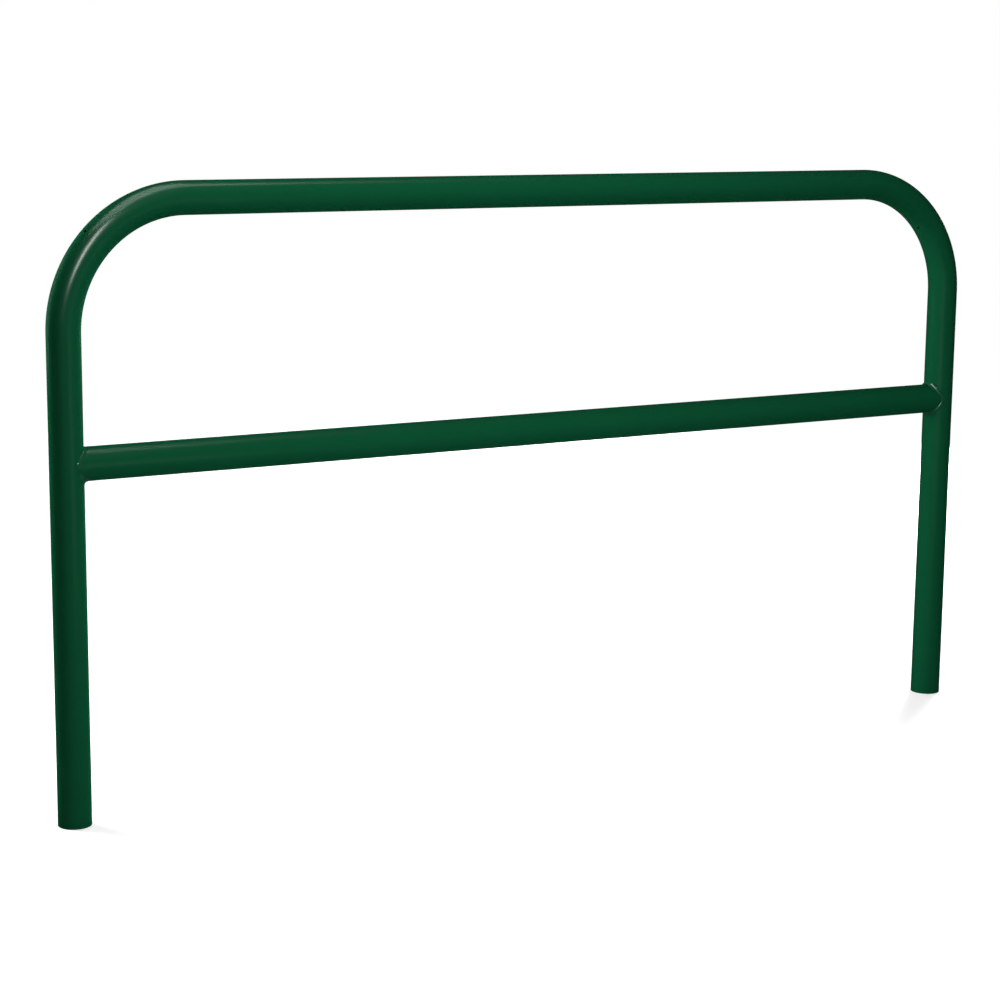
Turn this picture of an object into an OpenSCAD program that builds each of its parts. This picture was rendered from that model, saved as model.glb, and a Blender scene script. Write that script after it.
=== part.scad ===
// Hoop barrier: a steel tube bent into a tall hoop, with a cross rail welded between its legs.
// The lowest stretch of each leg is set in the ground. Millimetres, +Z up, X along the barrier.
// The origin is the middle of the left leg's cut end.

/* [Hoop] */
// Overall length, from the outer side of one leg to the outer side of the other
overall_length = 2000; // [1000:10:3000]
// Overall height, from the cut ends of the legs to the top of the hoop
overall_height = 1120; // [1000:5:1400]
// Outside diameter of the hoop's tube
hoop_dia = 60; // [60:0.1:89]
// Wall thickness of the hoop's tube
hoop_wall = 2.5; // [2:0.1:5]
// Radius of the two bends, to the middle of the tube
bend_radius = 225; // [160:5:280]

/* [Cross rail] */
// Height of the cross rail's middle above the cut ends of the legs
rail_height = 640; // [480:5:680]
// Outside diameter of the cross rail's tube
rail_dia = 60; // [33.7:0.1:60]
// Wall thickness of the cross rail's tube
rail_wall = 2.5; // [2:0.1:5]
// Gap left between the coped end of the cross rail and the leg, under the weld
root_gap = 2; // [1:0.1:3]

/* [Welds] */
// How far the weld reaches along each tube from the joint
weld_leg = 5; // [3:0.5:8]
// How far the weld's face bulges out between its two toes
weld_crown = 1.4; // [0.6:0.1:2.5]

/* [Vent holes] */
// Diameter of the vent hole drilled right through each bend
vent_dia = 6; // [4:0.5:12]
// Angle round the bend from the top of the leg to the vent hole
vent_angle = 43; // [20:1:70]
// How far the vent hole lies in front of the tube's middle
vent_offset = 9; // [0:0.5:15]

/* [Hidden] */

paint_green = [0.03, 0.28, 0.17];

// Gap at which the weld's underside lies on the tubes
seat_gap = 0.2;
// Overrun of every cutting shape past what it cuts
overrun = 5;
// Places round the joint at which the weld's section is drawn
weld_stations = 72;
// Points across the weld's face, from one toe to the other
face_points = 5;
// Angle on each side of a station between which the coped edge's direction is taken
probe_angle = 1;
$fn = 96;

hoop_r = hoop_dia / 2;
hoop_bore_r = hoop_r - hoop_wall;
rail_r = rail_dia / 2;
rail_bore_r = rail_r - rail_wall;
leg_spacing = overall_length - hoop_dia;
top_z = overall_height - hoop_r;
leg_straight = top_z - bend_radius;
top_straight = leg_spacing - 2 * bend_radius;
cope_r = hoop_r + root_gap;
station_step = 360 / weld_stations;

// Draws what follows at the left leg and mirrored at the right leg.
module both_sides() {
    children();
    right_side() children();
}

module right_side() {
    translate([leg_spacing, 0, 0]) mirror([1, 0, 0]) children();
}

// Draws what follows from the left bend's centre, with +X towards the leg.
module at_bend() {
    translate([bend_radius, 0, leg_straight]) mirror([1, 0, 0]) children();
}

// A quarter turn of rod, from the top of the left leg to the start of the top run.
module bend_rod(r) {
    at_bend()
        rotate([90, 0, 0])
            rotate_extrude(angle = 90)
                translate([bend_radius, 0])
                    circle(r = r);
}

// A rod of radius r along the hoop's whole centre line, drawn on below the feet by extra.
module hoop_rod(r, extra = 0) {
    both_sides() {
        translate([0, 0, -extra]) cylinder(r = r, h = leg_straight + extra);
        bend_rod(r);
    }
    translate([bend_radius, 0, top_z]) rotate([0, 90, 0]) cylinder(r = r, h = top_straight);
}

// The drill that passes right through a bend, square to the tube and in front of the tube's middle.
module vent_drill() {
    at_bend()
        rotate([0, -vent_angle, 0])
            translate([bend_radius - hoop_r - overrun, -vent_offset, 0])
                rotate([0, 90, 0])
                    cylinder(d = vent_dia, h = hoop_dia + 2 * overrun);
}

module hoop() {
    color(paint_green)
        difference() {
            hoop_rod(hoop_r);
            hoop_rod(hoop_bore_r, overrun);
            both_sides() vent_drill();
        }
}

// The cross rail, coped at both ends to fit round the legs.
module cross_rail() {
    color(paint_green)
        difference() {
            translate([0, 0, rail_height]) rotate([0, 90, 0]) cylinder(r = rail_r, h = leg_spacing);
            translate([-overrun, 0, rail_height])
                rotate([0, 90, 0])
                    cylinder(r = rail_bore_r, h = leg_spacing + 2 * overrun);
            both_sides()
                translate([0, 0, rail_height - rail_r - overrun])
                    cylinder(r = cope_r, h = rail_dia + 2 * overrun);
        }
}

// Point of the coped edge at angle a round the rail, with the joint's middle at the origin.
function joint_point(a) =
    let (y = rail_r * cos(a))
    [sqrt(max(cope_r * cope_r - y * y, 0)), y, rail_r * sin(a)];

function unit(v) = v / norm(v);

// Outward directions of the leg's surface and of the rail's surface at the coped edge.
function leg_normal(p) = unit([p.x, p.y, 0]);
function rail_normal(p) = unit([0, p.y, p.z]);

// Direction of the coped edge at angle a.
function joint_tangent(a) = unit(joint_point(a + probe_angle) - joint_point(a - probe_angle));

// The two toes of the weld: one on the leg's surface, one on the rail's.
function on_leg(p) = concat(unit([p.x, p.y]) * (hoop_r + seat_gap), [p.z]);
function on_rail(p) = let (q = unit([p.y, p.z]) * (rail_r + seat_gap)) [p.x, q.x, q.y];
function leg_toe(a) =
    let (p = joint_point(a))
    on_leg(p + weld_leg * cross(joint_tangent(a), leg_normal(p)));
function rail_toe(a) =
    let (p = joint_point(a))
    on_rail(p - weld_leg * cross(joint_tangent(a), rail_normal(p)));

// Mean outward direction of the two surfaces, in which the weld's face bulges.
function face_normal(a) = let (p = joint_point(a)) unit(leg_normal(p) + rail_normal(p));

// Height of the weld's face at fraction f of the way from toe to toe.
function face_height(f) = weld_crown * sin(180 * f);

// Section of the weld at angle a: its face from toe to toe, then its root.
function weld_section(a) =
    let (t0 = leg_toe(a), t1 = rail_toe(a), n = face_normal(a))
    concat(
        [for (i = [0:face_points - 1])
            let (f = i / (face_points - 1))
            t0 + (t1 - t0) * f + n * face_height(f)],
        [joint_point(a) + n * seat_gap]
    );

// The weld bead round one end of the cross rail.
module weld_ring() {
    m = face_points + 1;
    points = [for (s = [0:weld_stations - 1]) each weld_section(s * station_step)];
    faces = [
        for (s = [0:weld_stations - 1], i = [0:m - 1])
            let (s2 = (s + 1) % weld_stations, i2 = (i + 1) % m)
            each [[s * m + i, s * m + i2, s2 * m + i], [s2 * m + i, s * m + i2, s2 * m + i2]]
    ];
    translate([0, 0, rail_height]) polyhedron(points = points, faces = faces);
}

module left_weld() {
    color(paint_green) weld_ring();
}

module right_weld() {
    color(paint_green) right_side() weld_ring();
}

hoop();
cross_rail();
left_weld();
right_weld();
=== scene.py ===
"""Looks for a hoop barrier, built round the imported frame.

The tubes get finely curved skins with softened cut ends and drilled vents, the welds get rippled beads,
and everything gets a green coat that is matt but for a faint sheen. The stage is a plain pale floor under
soft lamps, with two very strong lamps that show in the sheen alone.
"""

import math

import bmesh
import bpy
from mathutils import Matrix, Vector, noise


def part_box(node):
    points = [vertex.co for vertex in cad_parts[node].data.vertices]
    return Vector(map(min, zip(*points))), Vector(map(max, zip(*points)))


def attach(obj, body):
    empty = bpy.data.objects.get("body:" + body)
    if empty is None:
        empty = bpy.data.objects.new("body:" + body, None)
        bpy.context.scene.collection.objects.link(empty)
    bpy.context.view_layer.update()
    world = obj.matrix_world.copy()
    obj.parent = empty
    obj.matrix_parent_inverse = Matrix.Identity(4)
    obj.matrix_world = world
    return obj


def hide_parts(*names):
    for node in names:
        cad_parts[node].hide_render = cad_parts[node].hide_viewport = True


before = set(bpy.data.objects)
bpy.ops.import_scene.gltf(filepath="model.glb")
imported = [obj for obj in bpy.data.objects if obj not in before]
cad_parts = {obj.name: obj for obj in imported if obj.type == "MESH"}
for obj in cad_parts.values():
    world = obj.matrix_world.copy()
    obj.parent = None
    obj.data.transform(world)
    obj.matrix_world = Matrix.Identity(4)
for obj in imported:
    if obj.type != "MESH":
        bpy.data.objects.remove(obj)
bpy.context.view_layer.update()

bl_info = {
    "name": "Hoop Barrier",
    "version": (1, 0, 0),
    "blender": (4, 5, 0),
    "location": "View3D > Sidebar > Hoop Barrier",
    "description": "Builds the hoop, cross rail, weld beads and studio of a hoop barrier",
    "category": "Add Mesh",
}

HOOP_LOW, HOOP_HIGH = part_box("hoop")
RAIL_LOW, RAIL_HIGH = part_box("cross_rail")

ACROSS = Vector((0.0, 1.0, 0.0))
QUARTER = math.pi / 2

# How finely the tubes are curved, with closer rings within VENT_SPAN of a vent
TUBE_SIDES = 128
LEG_STEP = 0.09
BEND_STEP = math.radians(2.0)
VENT_STEP = math.radians(0.4)
VENT_SPAN = math.radians(2.0)
ROUND_STEPS = 4
SHARP_ANGLE = math.radians(35.0)

# How many sides the vents' drill has, and how far it reaches out of the tube
VENT_SIDES = 48
VENT_OVERRUN = 0.004

# How finely the weld beads are drawn: stations round the joint, and points from toe to toe
BEAD_STATIONS = 720
BEAD_POINTS = 33
# Degrees to each side of a station between which the coped edge's direction is taken
PROBE_ANGLE = 0.5
# How uneven the bead's sizes are, how square its face stands on its toes, and how deep its root lies
UNEVEN = 0.12
ROUNDNESS = 1.6
ROOT_DEPTH = 0.0015
# How quickly the hand that laid the bead wandered, and the row of noise that each size follows
WANDER_SCALE = 2.4
LEG_ROW = 0.0
CROWN_ROW = 3.0
RIPPLE_ROW = 5.0
RAIL_ROW = 7.0
# How far a ripple's middle runs ahead of its ends, and how far its place wanders, both in ripples
RIPPLE_BOW = 0.8
RIPPLE_WANDER = 1.6
# How much quicker the ripples wander than the bead's sizes, and the level that counts as their mean
RIPPLE_HASTE = 3.0
RIPPLE_MEAN = 0.6

# The green coat is matt under its sheen, so that its own reflections are off
COAT_SPECULAR = 0.0
# The sheen is nearly as strong face on as it is at a glance
SHEEN_IOR = 2.5
# How much stronger and smoother the sheen is on the beads, where the coat ran thick
BEAD_SHEEN = 4.5
BEAD_SMOOTHNESS = 0.5
# Share of the fine grain in the coat's drift of tone
FINE_SHARE = 0.35
# Inside the tube: specular level, roughness of the overspray, how metallic the zinc is, its darker spangle
# and the depth of its bumps
BORE_SPECULAR = 0.5
OVERSPRAY_ROUGHNESS = 0.55
ZINC_METALLIC = 0.8
SPANGLE_SHADE = 0.6
BORE_BUMP = 0.00004
# Shares of the overspray's reach at which it starts to thin out and is gone
OVERSPRAY_FULL = 0.5
OVERSPRAY_GONE = 2.0


class TubeSizes(bpy.types.PropertyGroup):
    """Sizes of the hoop and its cross rail"""

    # The CAD's origin is the middle of the left leg, so the hoop reaches a radius past it in x
    dia: bpy.props.FloatProperty(
        name="Tube diameter",
        description="Outside diameter of both tubes",
        default=-2 * HOOP_LOW.x,
        min=0.03,
        unit="LENGTH",
    )
    wall: bpy.props.FloatProperty(
        name="Wall",
        description="Wall thickness of both tubes",
        default=0.0025,
        min=0.001,
        unit="LENGTH",
    )
    bend: bpy.props.FloatProperty(
        name="Bend radius",
        description="Radius of the two bends, to the middle of the tube",
        default=0.225,
        min=0.1,
        unit="LENGTH",
    )
    edge: bpy.props.FloatProperty(
        name="Edge round",
        description="Radius to which the cut ends are filed",
        default=0.0005,
        min=0.0001,
        unit="LENGTH",
    )
    root_gap: bpy.props.FloatProperty(
        name="Root gap",
        description="Gap between the coped end of the cross rail and the leg",
        default=0.002,
        min=0.0005,
        unit="LENGTH",
    )
    vent: bpy.props.FloatProperty(
        name="Vent diameter",
        description="Diameter of the hole drilled through each bend",
        default=0.006,
        min=0.002,
        unit="LENGTH",
    )
    vent_edge: bpy.props.FloatProperty(
        name="Vent edge",
        description="Width of the broken edge round each vent",
        default=0.0004,
        min=0.0001,
        unit="LENGTH",
    )
    vent_angle: bpy.props.FloatProperty(
        name="Vent angle",
        description="Angle round the bend from the top of the leg to the vent",
        default=math.radians(43.0),
        unit="ROTATION",
    )
    vent_offset: bpy.props.FloatProperty(
        name="Vent offset",
        description="How far the vent lies in front of the tube's middle",
        default=0.009,
        unit="LENGTH",
    )


class WeldSizes(bpy.types.PropertyGroup):
    """Sizes of the weld beads"""

    sink: bpy.props.FloatProperty(
        name="Toe depth",
        description="How deep a bead's toes lie in the tubes",
        default=0.0003,
        min=0.0001,
        unit="LENGTH",
    )
    ripple_pitch: bpy.props.FloatProperty(
        name="Ripple pitch",
        description="Distance from one ripple of a bead to the next",
        default=0.0026,
        min=0.001,
        unit="LENGTH",
    )
    ripple_rise: bpy.props.FloatProperty(
        name="Ripple rise",
        description="Height of the ripples under the coat",
        default=0.00014,
        min=0.00005,
        unit="LENGTH",
    )


class CoatLooks(bpy.types.PropertyGroup):
    """Colour and finish of the green coat"""

    colour: bpy.props.FloatVectorProperty(
        name="Colour",
        description="Colour of the coat",
        default=(0.0032, 0.076, 0.0295),
        size=3,
        subtype="COLOR",
        min=0.0,
        max=1.0,
    )
    zinc: bpy.props.FloatVectorProperty(
        name="Zinc colour",
        description="Colour of the bare zinc deep inside the tube",
        default=(0.30, 0.31, 0.32),
        size=3,
        subtype="COLOR",
        min=0.0,
        max=1.0,
    )
    sheen: bpy.props.FloatProperty(
        name="Sheen",
        description="Strength of the coat's faint sheen",
        default=0.005,
        min=0.0,
        max=1.0,
        subtype="FACTOR",
    )
    roughness: bpy.props.FloatProperty(
        name="Roughness",
        description="Roughness of the sheen",
        default=0.24,
        min=0.05,
        max=1.0,
        subtype="FACTOR",
    )
    overspray: bpy.props.FloatProperty(
        name="Overspray",
        description="How far the coat reaches up inside the open ends",
        default=0.07,
        min=0.0,
        unit="LENGTH",
    )


# The two beads: which node each stands for, and whether it is mirrored to the right leg. The seed picks
# each bead's own unevenness, and a skew below 1 brings its bulge nearer to the leg. A row of sizes holds for
# one angle in degrees round the joint, with 90 at the top and 180 at the front: how far the bead reaches
# along the leg and along the rail, and how far its face bulges out, or sinks in where that is negative. A
# lump, or a pit where its height is negative, has its angle, its spread in degrees, its place across the
# face from the leg's side at 0 to the rail's side at 1, its spread there, and its height.
BEADS = (
    {
        "name": "left_bead",
        "node": "left_weld",
        "mirrored": False,
        "seed": 3.7,
        "skew": 1.0,
        "sizes": (
            (0.0, 0.0050, 0.0050, 0.0009),
            (45.0, 0.0046, 0.0050, 0.0011),
            (75.0, 0.0016, 0.0036, 0.0004),
            (90.0, 0.0006, 0.0028, 0.0002),
            (105.0, 0.0024, 0.0036, 0.0003),
            (135.0, 0.0038, 0.0046, 0.0004),
            (160.0, 0.0034, 0.0056, 0.0003),
            (180.0, 0.0030, 0.0066, 0.0003),
            (200.0, 0.0034, 0.0062, -0.0002),
            (225.0, 0.0056, 0.0062, -0.0014),
            (270.0, 0.0058, 0.0052, -0.0016),
            (310.0, 0.0050, 0.0050, 0.0002),
        ),
        "lumps": (
            (125.0, 26.0, 0.10, 0.12, -0.0001),
            (170.0, 4.0, 0.04, 0.12, -0.0003),
            (182.0, 3.2, 0.48, 0.24, 0.0004),
            (189.5, 2.8, 0.44, 0.22, 0.0005),
            (196.0, 4.0, 0.04, 0.14, -0.0009),
            (186.0, 3.0, 0.70, 0.12, -0.0003),
            (8.0, 6.0, 0.50, 0.30, 0.0003),
        ),
    },
    {
        "name": "right_bead",
        "node": "right_weld",
        "mirrored": True,
        "seed": 11.3,
        "skew": 0.88,
        "sizes": (
            (0.0, 0.0052, 0.0050, 0.0009),
            (50.0, 0.0050, 0.0048, 0.0012),
            (90.0, 0.0066, 0.0020, -0.0004),
            (110.0, 0.0060, 0.0040, 0.0012),
            (135.0, 0.0056, 0.0054, 0.0018),
            (160.0, 0.0064, 0.0058, 0.0015),
            (180.0, 0.0070, 0.0054, 0.0013),
            (200.0, 0.0064, 0.0050, 0.0015),
            (225.0, 0.0056, 0.0046, 0.0022),
            (250.0, 0.0050, 0.0036, 0.0009),
            (270.0, 0.0050, 0.0018, 0.0001),
            (310.0, 0.0050, 0.0046, 0.0010),
        ),
        "lumps": (
            (124.0, 18.0, 0.07, 0.07, 0.0008),
            (134.0, 36.0, 0.25, 0.07, -0.0013),
            (140.0, 34.0, 0.92, 0.07, -0.0009),
            (222.0, 28.0, 0.22, 0.07, -0.0009),
            (226.0, 30.0, 0.05, 0.06, 0.0008),
            (215.0, 34.0, 0.92, 0.06, -0.0007),
            (352.0, 7.0, 0.50, 0.30, 0.0003),
        ),
    },
)


def spacing():
    """Distance between the middles of the two legs."""
    return HOOP_HIGH.x - HOOP_LOW.x - bpy.context.scene.barrier_tubes.dia


def top_height():
    """Height of the middle of the top run."""
    return HOOP_HIGH.z - bpy.context.scene.barrier_tubes.dia / 2


def rail_height():
    """Height of the middle of the cross rail."""
    return (RAIL_LOW.z + RAIL_HIGH.z) / 2


def stretches():
    """Lengths along the tube's middle of one leg, one bend and the top run."""
    bend = bpy.context.scene.barrier_tubes.bend
    return top_height() - bend, bend * QUARTER, spacing() - 2 * bend


def hoop_length():
    """Length of the whole hoop along the tube's middle."""
    leg, arc, run = stretches()
    return 2 * leg + 2 * arc + run


def round_turns(count, shift=0.0):
    """Angles of evenly spaced points round a circle, turned on by a shift in spaces."""
    return [2 * math.pi * (k + shift) / count for k in range(count)]


def loft(name, rings, materials, inner_from=None):
    """Skins a closed run of rings, the last joined to the first.

    Rings from inner_from on get the second material.
    """
    mesh = bpy.data.meshes.new(name)
    shape = bmesh.new()
    rows = [[shape.verts.new(point) for point in ring] for ring in rings]
    sides = len(rings[0])
    for i, row in enumerate(rows):
        following = rows[(i + 1) % len(rows)]
        for k in range(sides):
            after = (k + 1) % sides
            face = shape.faces.new((row[k], row[after], following[after], following[k]))
            face.smooth = True
            face.material_index = int(inner_from is not None and i >= inner_from)
    bmesh.ops.recalc_face_normals(shape, faces=shape.faces)
    shape.to_mesh(mesh)
    shape.free()
    mesh.set_sharp_from_angle(angle=SHARP_ANGLE)
    for material in materials:
        mesh.materials.append(material)
    piece = bpy.data.objects.new(name, mesh)
    bpy.context.scene.collection.objects.link(piece)
    return piece


def settle(piece, node):
    """Puts a finished piece in the place of its CAD node."""
    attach(piece, "root")
    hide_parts(node)


def hoop_frame(distance):
    """Middle of the tube at a distance along the hoop, and the direction towards the hoop's inside."""
    bend = bpy.context.scene.barrier_tubes.bend
    leg, arc, run = stretches()
    if distance <= leg:
        return Vector((0.0, 0.0, distance)), Vector((1.0, 0.0, 0.0))
    if distance < leg + arc:
        turn = (distance - leg) / bend
        inward = Vector((math.cos(turn), 0.0, -math.sin(turn)))
        return Vector((bend, 0.0, leg)) - bend * inward, inward
    if distance <= leg + arc + run:
        return Vector((bend + distance - leg - arc, 0.0, leg + bend)), Vector((0.0, 0.0, -1.0))
    if distance < leg + 2 * arc + run:
        turn = (distance - leg - arc - run) / bend
        inward = Vector((-math.sin(turn), 0.0, -math.cos(turn)))
        return Vector((bend + run, 0.0, leg)) - bend * inward, inward
    return Vector((spacing(), 0.0, hoop_length() - distance)), Vector((-1.0, 0.0, 0.0))


def even_steps(start, end, step):
    """Distances from start up to end, evenly spaced, with the end left out."""
    count = max(1, math.ceil((end - start) / step))
    return [start + (end - start) * i / count for i in range(count)]


def bend_stations(start, vent_turn):
    """Distances round one bend, closer together at the vent, which lies vent_turn round it."""
    bend = bpy.context.scene.barrier_tubes.bend
    near = vent_turn - VENT_SPAN
    far = vent_turn + VENT_SPAN
    turns = even_steps(0.0, near, BEND_STEP)
    turns += even_steps(near, far, VENT_STEP)
    turns += even_steps(far, QUARTER, BEND_STEP)
    return [start + bend * turn for turn in turns]


def hoop_stations():
    """Distances along the hoop at which its skin has a ring, without the rounded ends."""
    tubes = bpy.context.scene.barrier_tubes
    leg, arc, run = stretches()
    return (
        even_steps(tubes.edge, leg, LEG_STEP)[1:]
        + bend_stations(leg, tubes.vent_angle)
        + even_steps(leg + arc, leg + arc + run, LEG_STEP)
        + bend_stations(leg + arc + run, QUARTER - tubes.vent_angle)
        + even_steps(leg + 2 * arc + run, hoop_length() - tubes.edge, LEG_STEP)
    )


def filed_end(radius, outward):
    """Distances from a cut end and radii of the rings that round its edge, from the face to the skin."""
    edge = bpy.context.scene.barrier_tubes.edge
    rings = []
    for i in range(ROUND_STEPS + 1):
        turn = QUARTER * i / ROUND_STEPS
        rings.append((edge - edge * math.cos(turn), radius + outward * (edge * math.sin(turn) - edge)))
    return rings


def skin_line(radius, outward):
    """Distances and radii of one skin of the hoop, from the left leg's cut end to the right leg's."""
    ends = filed_end(radius, outward)
    middle = [(distance, radius) for distance in hoop_stations()]
    return ends + middle + [(hoop_length() - distance, size) for distance, size in reversed(ends)]


def hoop_ring(distance, radius):
    """Ring of points round the hoop's tube."""
    middle, inward = hoop_frame(distance)
    return [
        middle + radius * (math.cos(turn) * inward + math.sin(turn) * ACROSS)
        for turn in round_turns(TUBE_SIDES)
    ]


def vent_place(first):
    """Middle of the vent in the first or second bend, and the direction in which it is drilled."""
    tubes = bpy.context.scene.barrier_tubes
    leg, arc, run = stretches()
    if first:
        distance = leg + tubes.bend * tubes.vent_angle
    else:
        distance = leg + arc + run + tubes.bend * (QUARTER - tubes.vent_angle)
    middle, inward = hoop_frame(distance)
    return middle - tubes.vent_offset * ACROSS, inward


def drill_line():
    """Depths and radii of the drill, which widens at both skins of the tube to break the vent's edges."""
    tubes = bpy.context.scene.barrier_tubes
    radius = tubes.dia / 2
    hole = tubes.vent / 2
    edge = tubes.vent_edge
    wide = hole + edge + VENT_OVERRUN
    return [
        (-radius - VENT_OVERRUN, wide),
        (-radius + edge, hole),
        (radius - edge, hole),
        (radius + VENT_OVERRUN, wide),
    ]


def vent_drill(first, material):
    """Cutter for one bend's vent, right through the tube."""
    middle, inward = vent_place(first)
    beside = inward.cross(ACROSS)
    shape = bmesh.new()
    rows = []
    for depth, size in drill_line():
        centre = middle + depth * inward
        turns = round_turns(VENT_SIDES, 0.5)
        ring = [centre + size * (math.cos(turn) * ACROSS + math.sin(turn) * beside) for turn in turns]
        rows.append([shape.verts.new(point) for point in ring])
    for row, following in zip(rows, rows[1:]):
        for k in range(VENT_SIDES):
            after = (k + 1) % VENT_SIDES
            shape.faces.new((row[k], row[after], following[after], following[k]))
    shape.faces.new(rows[0])
    shape.faces.new(rows[-1])
    bmesh.ops.recalc_face_normals(shape, faces=shape.faces)
    mesh = bpy.data.meshes.new("vent_drill")
    shape.to_mesh(mesh)
    shape.free()
    mesh.materials.append(material)
    drill = bpy.data.objects.new("vent_drill", mesh)
    bpy.context.scene.collection.objects.link(drill)
    return drill


def drill_vents(piece):
    """Cuts both vents out of the hoop and keeps the result as its mesh."""
    drills = [vent_drill(first, piece.data.materials[0]) for first in (True, False)]
    for drill in drills:
        cut = piece.modifiers.new("vent", "BOOLEAN")
        cut.operation = "DIFFERENCE"
        cut.solver = "EXACT"
        cut.object = drill
    cut_piece = piece.evaluated_get(bpy.context.evaluated_depsgraph_get())
    solid = bpy.data.meshes.new_from_object(cut_piece)
    piece.modifiers.clear()
    shape = bmesh.new()
    shape.from_mesh(solid)
    bmesh.ops.triangulate(shape, faces=[face for face in shape.faces if len(face.verts) > 4])
    for face in shape.faces:
        face.smooth = True
    shape.to_mesh(solid)
    shape.free()
    solid.set_sharp_from_angle(angle=SHARP_ANGLE)
    piece.data = solid
    solid.name = piece.name
    for drill in drills:
        mesh = drill.data
        bpy.data.objects.remove(drill)
        bpy.data.meshes.remove(mesh)


def coped_ring(radius, right):
    """Ring of points round the cross rail's coped end."""
    tubes = bpy.context.scene.barrier_tubes
    cope = tubes.dia / 2 + tubes.root_gap
    ring = []
    for turn in round_turns(TUBE_SIDES):
        y = radius * math.cos(turn)
        x = math.sqrt(cope * cope - y * y)
        ring.append(Vector((spacing() - x if right else x, y, rail_height() + radius * math.sin(turn))))
    return ring


def rail_ring(x, radius):
    """Plain ring of points round the cross rail."""
    ring = []
    for turn in round_turns(TUBE_SIDES):
        ring.append(Vector((x, radius * math.cos(turn), rail_height() + radius * math.sin(turn))))
    return ring


def rail_skin(radius):
    """Rings of one skin of the cross rail, from its left end to its right end."""
    clear = bpy.context.scene.barrier_tubes.dia
    far = spacing() - clear
    places = even_steps(clear, far, LEG_STEP) + [far]
    return [coped_ring(radius, False), *[rail_ring(x, radius) for x in places], coped_ring(radius, True)]


def turned(angle, other):
    """Angle in degrees from one direction round the joint to another, between -180 and 180."""
    return (angle - other + 180.0) % 360.0 - 180.0


def bell(away, spread):
    """Bump of height 1 that fades over its spread."""
    return math.exp(-((away / spread) ** 2))


def sized(rows, angle):
    """Sizes at an angle round the joint, eased from each row of the bead's sizes to the next."""
    following = next((i for i, row in enumerate(rows) if row[0] > angle), 0)
    before, after = rows[following - 1], rows[following]
    part = (angle - before[0]) % 360.0 / ((after[0] - before[0]) % 360.0)
    eased = part * part * (3.0 - 2.0 * part)
    return [start + (end - start) * eased for start, end in zip(before[1:], after[1:])]


class BeadPath:
    """Where a weld bead runs: the coped edge of the rail, with the leg's middle at x = 0.

    Its length is how far the bead has been laid so far.
    """

    def __init__(self, bead):
        tubes = bpy.context.scene.barrier_tubes
        self.bead = bead
        self.welds = bpy.context.scene.barrier_welds
        self.radius = tubes.dia / 2
        self.cope = self.radius + tubes.root_gap
        self.length = 0.0

    def joint(self, angle):
        """Point of the coped edge at an angle in degrees."""
        turn = math.radians(angle)
        y = self.radius * math.cos(turn)
        return Vector((math.sqrt(self.cope**2 - y * y), y, self.radius * math.sin(turn)))

    def along(self, angle):
        """Direction of the coped edge at an angle."""
        return (self.joint(angle + PROBE_ANGLE) - self.joint(angle - PROBE_ANGLE)).normalized()

    def wander(self, angle, row):
        """Slow unevenness of the hand that laid the bead, between about -1 and 1."""
        turn = math.radians(angle)
        place = Vector((math.cos(turn), math.sin(turn), row + self.bead["seed"]))
        return noise.noise(WANDER_SCALE * place)

    def toes(self, angle, on_leg, on_rail):
        """The bead's edges on the leg and on the rail, a little below their skins, and the way it faces."""
        point = self.joint(angle)
        leg_out = Vector((point.x, point.y, 0.0)).normalized()
        rail_out = Vector((0.0, point.y, point.z)).normalized()
        leg_toe = point + on_leg * self.along(angle).cross(leg_out)
        rail_toe = point - on_rail * self.along(angle).cross(rail_out)
        sunk = self.radius - self.welds.sink
        flat = Vector((leg_toe.x, leg_toe.y, 0.0)).normalized() * sunk
        across = Vector((0.0, rail_toe.y, rail_toe.z)).normalized() * sunk
        out = (leg_out + rail_out).normalized()
        return Vector((flat.x, flat.y, leg_toe.z)), Vector((rail_toe.x, across.y, across.z)), out

    def relief(self, angle, part):
        """Height of the lumps, pits and ripples at a place on the bead's face."""
        height = 0.0
        for middle, spread, across, width, rise in self.bead["lumps"]:
            height += rise * bell(turned(angle, middle), spread) * bell(part - across, width)
        swell = math.sin(math.pi * part)
        phase = self.length / self.welds.ripple_pitch + RIPPLE_BOW * swell
        phase += RIPPLE_WANDER * self.wander(RIPPLE_HASTE * angle, RIPPLE_ROW)
        ripple = abs(math.sin(math.pi * phase)) - RIPPLE_MEAN
        return height + self.welds.ripple_rise * ripple * swell

    def ring(self, angle):
        """Section of the bead at an angle: its face from the leg to the rail, then its root."""
        on_leg, on_rail, crown = sized(self.bead["sizes"], angle)
        on_leg *= 1.0 + UNEVEN * self.wander(angle, LEG_ROW)
        on_rail *= 1.0 + UNEVEN * self.wander(angle, RAIL_ROW)
        crown += UNEVEN * self.wander(angle, CROWN_ROW) * abs(crown)
        leg_toe, rail_toe, out = self.toes(angle, on_leg, on_rail)
        ring = []
        for j in range(BEAD_POINTS):
            part = j / (BEAD_POINTS - 1)
            swell = math.sin(math.pi * part)
            bulge = math.sin(math.pi * part ** self.bead["skew"]) ** ROUNDNESS
            rise = crown * bulge + self.welds.sink * swell + self.relief(angle, part)
            ring.append(leg_toe.lerp(rail_toe, part) + out * rise)
        ring.append(self.joint(angle) - out * ROOT_DEPTH)
        return ring


def bead_rings(bead):
    """Sections of a weld bead all the way round its joint, in the barrier's own place."""
    path = BeadPath(bead)
    before = path.joint(0.0)
    rings = []
    for i in range(BEAD_STATIONS):
        angle = 360.0 * i / BEAD_STATIONS
        point = path.joint(angle)
        path.length += (point - before).length
        before = point
        rings.append(path.ring(angle))
    for ring in rings:
        for point in ring:
            if bead["mirrored"]:
                point.x = spacing() - point.x
            point.z += rail_height()
    return rings


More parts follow.
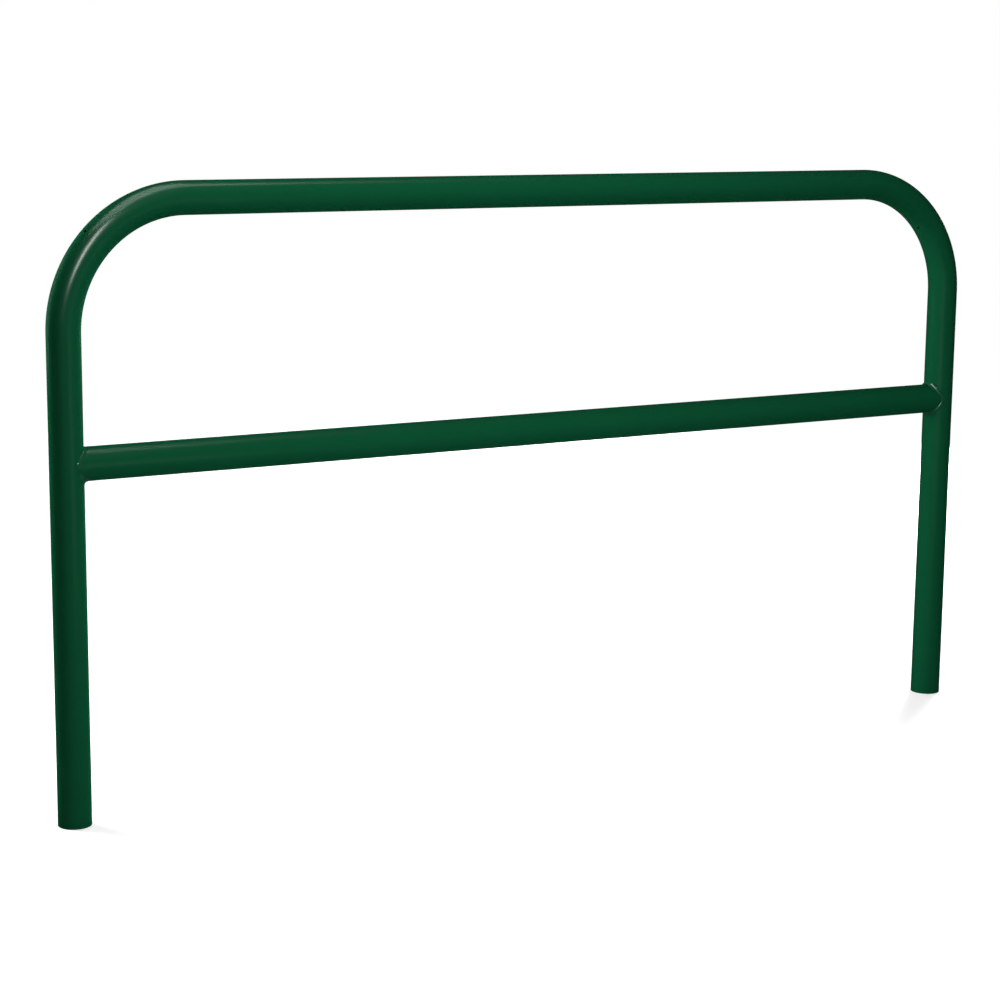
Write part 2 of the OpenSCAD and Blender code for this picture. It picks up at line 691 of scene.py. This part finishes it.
def add_node(tree, kind, **settings):
    """Shader node with some of its settings given. Names of sockets are written with underscores."""
    node = tree.nodes.new(kind)
    for key, value in settings.items():
        if hasattr(node, key):
            setattr(node, key, value)
        else:
            node.inputs[key.replace("_", " ")].default_value = value
    return node


def new_group(name, takes, gives):
    """Empty node group with its named inputs and outputs, and its two end nodes."""
    group = bpy.data.node_groups.new(name, "ShaderNodeTree")
    for label, kind, value in takes:
        socket = group.interface.new_socket(name=label, in_out="INPUT", socket_type=kind)
        socket.default_value = value
    for label, kind in gives:
        group.interface.new_socket(name=label, in_out="OUTPUT", socket_type=kind)
    return group, group.nodes.new("NodeGroupInput"), group.nodes.new("NodeGroupOutput")


def coat_texture_group():
    """Texture of the powder coat: a slow drift of tone and gloss, and a fine orange-peel skin."""
    known = bpy.data.node_groups.get("coat_texture")
    if known:
        return known
    group, inputs, outputs = new_group(
        "coat_texture",
        (
            ("Colour", "NodeSocketColor", (0.0, 0.1, 0.04, 1.0)),
            ("Drift", "NodeSocketFloat", 0.1),
            ("Gloss", "NodeSocketFloat", 0.36),
            ("Gloss Drift", "NodeSocketFloat", 0.05),
            ("Grain", "NodeSocketFloat", 420.0),
        ),
        (("Colour", "NodeSocketColor"), ("Roughness", "NodeSocketFloat"), ("Height", "NodeSocketFloat")),
    )
    links = group.links
    place = group.nodes.new("ShaderNodeTexCoord")
    slow = add_node(group, "ShaderNodeTexNoise", Scale=9.0, Detail=3.0, Roughness=0.55)
    fine = add_node(group, "ShaderNodeTexNoise", Scale=130.0, Detail=2.0, Roughness=0.5)
    skin = add_node(group, "ShaderNodeTexNoise", Detail=1.0, Roughness=0.4)
    for texture in (slow, fine, skin):
        links.new(place.outputs["Object"], texture.inputs["Vector"])
    links.new(inputs.outputs["Grain"], skin.inputs["Scale"])

    both = add_node(group, "ShaderNodeMix", data_type="FLOAT")
    both.inputs["Factor"].default_value = FINE_SHARE
    links.new(slow.outputs["Fac"], both.inputs["A"])
    links.new(fine.outputs["Fac"], both.inputs["B"])

    centred = add_node(group, "ShaderNodeMath", operation="SUBTRACT")
    centred.inputs[1].default_value = 0.5
    links.new(both.outputs["Result"], centred.inputs[0])
    tone = add_node(group, "ShaderNodeMath", operation="MULTIPLY_ADD")
    tone.inputs[2].default_value = 1.0
    links.new(centred.outputs[0], tone.inputs[0])
    links.new(inputs.outputs["Drift"], tone.inputs[1])
    shade = add_node(group, "ShaderNodeVectorMath", operation="SCALE")
    links.new(inputs.outputs["Colour"], shade.inputs[0])
    links.new(tone.outputs[0], shade.inputs["Scale"])

    gloss = add_node(group, "ShaderNodeMath", operation="MULTIPLY_ADD")
    links.new(centred.outputs[0], gloss.inputs[0])
    links.new(inputs.outputs["Gloss Drift"], gloss.inputs[1])
    links.new(inputs.outputs["Gloss"], gloss.inputs[2])

    links.new(shade.outputs["Vector"], outputs.inputs["Colour"])
    links.new(gloss.outputs[0], outputs.inputs["Roughness"])
    links.new(skin.outputs["Fac"], outputs.inputs["Height"])
    return group


def new_material(name, specular):
    """Material with its shader, and nothing joined to it yet."""
    material = bpy.data.materials.new(name)
    material.use_nodes = True
    shader = material.node_tree.nodes["Principled BSDF"]
    shader.inputs["Specular IOR Level"].default_value = specular
    return material, material.node_tree, shader


def add_coat_texture(tree, gloss):
    """The coat's texture, placed in a material in the colour of the coat."""
    coat = tree.nodes.new("ShaderNodeGroup")
    coat.node_tree = coat_texture_group()
    coat.inputs["Colour"].default_value = (*bpy.context.scene.barrier_coat.colour, 1.0)
    coat.inputs["Gloss"].default_value = gloss
    return coat


def join_surface(tree, coat, shader, depth):
    """Gives the shader the coat's roughness and its bumps, which are this deep."""
    bump = add_node(tree, "ShaderNodeBump", Strength=1.0, Distance=depth)
    tree.links.new(coat.outputs["Roughness"], shader.inputs["Roughness"])
    tree.links.new(coat.outputs["Height"], bump.inputs["Height"])
    tree.links.new(bump.outputs["Normal"], shader.inputs["Normal"])


def coat_material(name, sheen, roughness, drift, gloss_drift, grain, depth):
    """The green coat, with its texture at the strength that its surface needs."""
    known = bpy.data.materials.get(name)
    if known:
        return known
    material, tree, shader = new_material(name, COAT_SPECULAR)
    shader.inputs["Coat Weight"].default_value = sheen
    shader.inputs["Coat IOR"].default_value = SHEEN_IOR
    shader.inputs["Coat Roughness"].default_value = roughness
    coat = add_coat_texture(tree, roughness)
    coat.inputs["Drift"].default_value = drift
    coat.inputs["Gloss Drift"].default_value = gloss_drift
    coat.inputs["Grain"].default_value = grain
    tree.links.new(coat.outputs["Colour"], shader.inputs["Base Color"])
    join_surface(tree, coat, shader, depth)
    return material


def zinc_colour(tree, place):
    """Colour of the bare zinc, with its darker spangle."""
    looks = bpy.context.scene.barrier_coat
    spangle = add_node(tree, "ShaderNodeTexVoronoi", Scale=90.0)
    tree.links.new(place.outputs["Object"], spangle.inputs["Vector"])
    zinc = add_node(tree, "ShaderNodeMix", data_type="RGBA")
    zinc.inputs["A"].default_value = (*looks.zinc, 1.0)
    zinc.inputs["B"].default_value = (*[SPANGLE_SHADE * part for part in looks.zinc], 1.0)
    tree.links.new(spangle.outputs["Distance"], zinc.inputs["Factor"])
    return zinc


def bare_depth(tree, place):
    """Mask that goes from 0 at the cut ends, under the overspray, to 1 where the zinc is bare."""
    reach = bpy.context.scene.barrier_coat.overspray
    split = tree.nodes.new("ShaderNodeSeparateXYZ")
    tree.links.new(place.outputs["Object"], split.inputs["Vector"])
    flecks = add_node(tree, "ShaderNodeTexNoise", Scale=60.0, Detail=4.0)
    tree.links.new(place.outputs["Object"], flecks.inputs["Vector"])
    edge = add_node(tree, "ShaderNodeMath", operation="MULTIPLY_ADD")
    edge.inputs[1].default_value = reach
    tree.links.new(flecks.outputs["Fac"], edge.inputs[0])
    tree.links.new(split.outputs["Z"], edge.inputs[2])
    deep = tree.nodes.new("ShaderNodeMapRange")
    deep.inputs["From Min"].default_value = OVERSPRAY_FULL * reach
    deep.inputs["From Max"].default_value = OVERSPRAY_GONE * reach
    tree.links.new(edge.outputs[0], deep.inputs["Value"])
    return deep


def bore_material():
    """Inside of the hoop's tube: overspray of the coat near the cut ends, and dull zinc farther in."""
    known = bpy.data.materials.get("bore_zinc")
    if known:
        return known
    material, tree, shader = new_material("bore_zinc", BORE_SPECULAR)
    links = tree.links
    coat = add_coat_texture(tree, OVERSPRAY_ROUGHNESS)
    place = tree.nodes.new("ShaderNodeTexCoord")
    deep = bare_depth(tree, place)
    zinc = zinc_colour(tree, place)
    colour = add_node(tree, "ShaderNodeMix", data_type="RGBA")
    links.new(deep.outputs["Result"], colour.inputs["Factor"])
    links.new(coat.outputs["Colour"], colour.inputs["A"])
    links.new(zinc.outputs["Result"], colour.inputs["B"])
    links.new(colour.outputs["Result"], shader.inputs["Base Color"])
    metal = add_node(tree, "ShaderNodeMath", operation="MULTIPLY")
    metal.inputs[1].default_value = ZINC_METALLIC
    links.new(deep.outputs["Result"], metal.inputs[0])
    links.new(metal.outputs[0], shader.inputs["Metallic"])
    join_surface(tree, coat, shader, BORE_BUMP)
    return material


def tube_coat():
    """The coat on both tubes."""
    looks = bpy.context.scene.barrier_coat
    return coat_material(
        "green_coat",
        looks.sheen,
        looks.roughness,
        drift=0.14,
        gloss_drift=0.10,
        grain=430.0,
        depth=0.000016,
    )


def bead_coat():
    """The coat on the weld beads, which is shinier and has a finer grain."""
    looks = bpy.context.scene.barrier_coat
    return coat_material(
        "bead_coat",
        BEAD_SHEEN * looks.sheen,
        BEAD_SMOOTHNESS * looks.roughness,
        drift=0.22,
        gloss_drift=0.08,
        grain=700.0,
        depth=0.00003,
    )


# The camera, as fitted to the outline of the tubes, and its lens
CAMERA_PLACE = (-1.32181, -3.65751, 1.26793)
CAMERA_TURN = (79.76902, -0.27476, -29.14163)
CAMERA_LENS = 81.915
CAMERA_SHIFT = (0.0651, 0.0044)
CAMERA_REACH = 200.0

# The soft lamps, which all face the middle of the barrier: name, place and power. The last two stand behind
# it and are the strongest, so that the barrier looks lighter from behind than from the front.
SOFT_LAMPS = (
    ("key_lamp", (0.40, -1.43, 2.30), 15.0),
    ("top_lamp", (0.59, -0.63, 2.82), 17.0),
    ("front_lamp", (0.75, -2.00, 0.33), 22.5),
    ("back_lamp", (-0.71, 1.26, 1.13), 54.0),
    ("side_lamp", (4.62, 2.25, 0.90), 270.0),
)
SOFT_TARGET = (0.97, 0.0, 0.7)
SOFT_SIZE = (1.0, 1.0)

# The lamps that only the sheen shows, which face the left bend: name, place, width and height, and power.
# They are far above the level of the soft lamps because the sheen is so faint, and under ordinary lamps the
# coat looks matt. A stronger sheen would mirror the white background all along the tubes.
SHEEN_LAMPS = (
    ("sheen_strip", (-2.01, -4.76, 3.84), (1.0, 3.10), 6600.0),
    ("sheen_panel", (-0.29, -0.32, 8.29), (5.0, 8.0), 13000.0),
)
SHEEN_TARGET = (0.12, 0.0, 1.02)

# Strength of the soft light from all round
AMBIENT = 0.003

# The floor lies just under the cut ends. It is pale where it is seen, and darker in the light that it
# throws back on the barrier. Its own glow rises from FLOOR_GLOW at FLOOR_NEAR from its middle to full white
# at FLOOR_FAR.
FLOOR_RADIUS = 60.0
FLOOR_RINGS = 24
FLOOR_SIDES = 96
FLOOR_DROP = 0.0004
FLOOR_PALE = (0.9, 0.9, 0.9)
FLOOR_BOUNCE = (0.25, 0.25, 0.25)
FLOOR_GLOW = 0.4
FLOOR_NEAR = 1.5
FLOOR_FAR = 4.0


def white_where_seen(tree, plain, white):
    """Mix of the plain shader with the white one, which camera, glossy and transmission rays see."""
    rays = tree.nodes.new("ShaderNodeLightPath")
    seen = add_node(tree, "ShaderNodeMath", operation="MAXIMUM")
    tree.links.new(rays.outputs["Is Camera Ray"], seen.inputs[0])
    tree.links.new(rays.outputs["Is Glossy Ray"], seen.inputs[1])
    through = add_node(tree, "ShaderNodeMath", operation="MAXIMUM")
    tree.links.new(seen.outputs[0], through.inputs[0])
    tree.links.new(rays.outputs["Is Transmission Ray"], through.inputs[1])
    mix = tree.nodes.new("ShaderNodeMixShader")
    tree.links.new(through.outputs[0], mix.inputs["Fac"])
    tree.links.new(plain.outputs[0], mix.inputs[1])
    tree.links.new(white.outputs[0], mix.inputs[2])
    return mix


def floor_material():
    """Pale floor. To the camera it is white, less the shadow that falls on it near the barrier."""
    material = bpy.data.materials.new("pale_floor")
    material.use_nodes = True
    tree = material.node_tree
    tree.nodes.remove(tree.nodes["Principled BSDF"])
    output = tree.nodes["Material Output"]
    matt = add_node(tree, "ShaderNodeBsdfDiffuse", Color=(*FLOOR_BOUNCE, 1.0))
    pale = add_node(tree, "ShaderNodeBsdfDiffuse", Color=(*FLOOR_PALE, 1.0))
    glow = tree.nodes.new("ShaderNodeEmission")
    place = tree.nodes.new("ShaderNodeTexCoord")
    away = add_node(tree, "ShaderNodeVectorMath", operation="LENGTH")
    tree.links.new(place.outputs["Object"], away.inputs[0])
    fade = tree.nodes.new("ShaderNodeMapRange")
    fade.inputs["From Min"].default_value = FLOOR_NEAR
    fade.inputs["From Max"].default_value = FLOOR_FAR
    fade.inputs["To Min"].default_value = FLOOR_GLOW
    fade.inputs["To Max"].default_value = 1.0
    tree.links.new(away.outputs["Value"], fade.inputs["Value"])
    tree.links.new(fade.outputs["Result"], glow.inputs["Strength"])
    lit = tree.nodes.new("ShaderNodeAddShader")
    tree.links.new(pale.outputs[0], lit.inputs[0])
    tree.links.new(glow.outputs[0], lit.inputs[1])
    mix = white_where_seen(tree, matt, lit)
    tree.links.new(mix.outputs[0], output.inputs["Surface"])
    return material


def add_floor():
    """Round pale floor that the cut ends stand on."""
    mesh = bpy.data.meshes.new("floor")
    shape = bmesh.new()
    rows = []
    for i in range(FLOOR_RINGS):
        radius = FLOOR_RADIUS * ((i + 1) / FLOOR_RINGS) ** 2
        turns = round_turns(FLOOR_SIDES)
        ring = [(radius * math.cos(turn), radius * math.sin(turn), 0.0) for turn in turns]
        rows.append([shape.verts.new(point) for point in ring])
    shape.faces.new(rows[0])
    for row, following in zip(rows, rows[1:]):
        for k in range(FLOOR_SIDES):
            after = (k + 1) % FLOOR_SIDES
            shape.faces.new((row[k], following[k], following[after], row[after]))
    shape.to_mesh(mesh)
    shape.free()
    mesh.materials.append(floor_material())
    floor = bpy.data.objects.new("floor", mesh)
    floor.location = (spacing() / 2, 0.0, -FLOOR_DROP)
    bpy.context.scene.collection.objects.link(floor)


def add_lamp(name, place, target, size, power):
    """Rectangular lamp that lights the barrier but isn't seen itself."""
    lamp = bpy.data.lights.new(name, "AREA")
    lamp.shape = "RECTANGLE"
    lamp.size, lamp.size_y = size
    lamp.energy = power
    holder = bpy.data.objects.new(name, lamp)
    holder.location = place
    holder.rotation_euler = (Vector(target) - Vector(place)).to_track_quat("-Z", "Y").to_euler()
    holder.visible_camera = False
    bpy.context.scene.collection.objects.link(holder)
    return holder


def add_lamps():
    """The soft lamps, and the lamps that show in the sheen alone."""
    for name, place, power in SOFT_LAMPS:
        add_lamp(name, place, SOFT_TARGET, SOFT_SIZE, power)
    for name, place, size, power in SHEEN_LAMPS:
        holder = add_lamp(name, place, SHEEN_TARGET, size, power)
        holder.visible_diffuse = False


def add_world():
    """Soft light from all round, and a white background where it is seen or reflected."""
    world = bpy.data.worlds.new("studio")
    world.use_nodes = True
    tree = world.node_tree
    ambient = tree.nodes["Background"]
    ambient.inputs["Color"].default_value = (1.0, 1.0, 1.0, 1.0)
    ambient.inputs["Strength"].default_value = AMBIENT
    white = add_node(tree, "ShaderNodeBackground", Color=(1.0, 1.0, 1.0, 1.0), Strength=1.0)
    mix = white_where_seen(tree, ambient, white)
    tree.links.new(mix.outputs[0], tree.nodes["World Output"].inputs["Surface"])
    bpy.context.scene.world = world


def add_camera():
    """Camera at the place from which the photo was taken."""
    lens = bpy.data.cameras.new("camera")
    lens.lens = CAMERA_LENS
    lens.shift_x, lens.shift_y = CAMERA_SHIFT
    lens.clip_end = CAMERA_REACH
    holder = bpy.data.objects.new("camera", lens)
    holder.location = CAMERA_PLACE
    holder.rotation_euler = [math.radians(turn) for turn in CAMERA_TURN]
    bpy.context.scene.collection.objects.link(holder)
    bpy.context.scene.camera = holder


class BARRIER_OT_hoop(bpy.types.Operator):
    """Build the bent tube with its open cut ends and drilled vents"""

    bl_idname = "barrier.hoop"
    bl_label = "Hoop"

    def execute(self, context):
        tubes = context.scene.barrier_tubes
        radius = tubes.dia / 2
        outer = skin_line(radius, 1.0)
        bore = skin_line(radius - tubes.wall, -1.0)
        rings = [hoop_ring(distance, size) for distance, size in outer + bore[::-1]]
        inner_from = len(outer) + ROUND_STEPS
        piece = loft("hoop_tube", rings, (tube_coat(), bore_material()), inner_from)
        drill_vents(piece)
        settle(piece, "hoop")
        return {"FINISHED"}


class BARRIER_OT_cross_rail(bpy.types.Operator):
    """Build the cross rail with its coped ends"""

    bl_idname = "barrier.cross_rail"
    bl_label = "Cross rail"

    def execute(self, context):
        tubes = context.scene.barrier_tubes
        radius = tubes.dia / 2
        rings = rail_skin(radius) + rail_skin(radius - tubes.wall)[::-1]
        piece = loft("cross_rail_tube", rings, (tube_coat(),))
        settle(piece, "cross_rail")
        return {"FINISHED"}


class BARRIER_OT_welds(bpy.types.Operator):
    """Build the rippled weld bead round each end of the cross rail"""

    bl_idname = "barrier.welds"
    bl_label = "Weld beads"

    def execute(self, context):
        for bead in BEADS:
            piece = loft(bead["name"], bead_rings(bead), (bead_coat(),))
            settle(piece, bead["node"])
        return {"FINISHED"}


class BARRIER_OT_studio(bpy.types.Operator):
    """Build the pale floor, the soft lamps, the background and the camera"""

    bl_idname = "barrier.studio"
    bl_label = "Studio"

    def execute(self, context):
        add_floor()
        add_lamps()
        add_world()
        add_camera()
        context.scene.view_settings.view_transform = "Standard"
        return {"FINISHED"}


class BARRIER_PT_panel(bpy.types.Panel):
    """Lists the pieces of the barrier, with their sizes and finish"""

    bl_label = "Hoop Barrier"
    bl_idname = "BARRIER_PT_panel"
    bl_space_type = "VIEW_3D"
    bl_region_type = "UI"
    bl_category = "Hoop Barrier"

    def draw(self, context):
        scene = context.scene
        for group in (scene.barrier_tubes, scene.barrier_welds, scene.barrier_coat):
            box = self.layout.box()
            for name in group.bl_rna.properties.keys():
                if name not in {"rna_type", "name"}:
                    box.prop(group, name)
        for operator in OPERATORS:
            self.layout.operator(operator.bl_idname)


OPERATORS = (BARRIER_OT_hoop, BARRIER_OT_cross_rail, BARRIER_OT_welds, BARRIER_OT_studio)
CLASSES = (TubeSizes, WeldSizes, CoatLooks, *OPERATORS, BARRIER_PT_panel)


def register():
    """Adds the classes and the properties that they use."""
    for cls in CLASSES:
        bpy.utils.register_class(cls)
    bpy.types.Scene.barrier_tubes = bpy.props.PointerProperty(type=TubeSizes)
    bpy.types.Scene.barrier_welds = bpy.props.PointerProperty(type=WeldSizes)
    bpy.types.Scene.barrier_coat = bpy.props.PointerProperty(type=CoatLooks)


def unregister():
    """Takes the properties and the classes away again."""
    del bpy.types.Scene.barrier_coat
    del bpy.types.Scene.barrier_welds
    del bpy.types.Scene.barrier_tubes
    for cls in reversed(CLASSES):
        bpy.utils.unregister_class(cls)


def main():
    """Builds the barrier and its studio."""
    register()
    bpy.ops.barrier.hoop()
    bpy.ops.barrier.cross_rail()
    bpy.ops.barrier.welds()
    bpy.ops.barrier.studio()


if __name__ == "__main__":
    main()
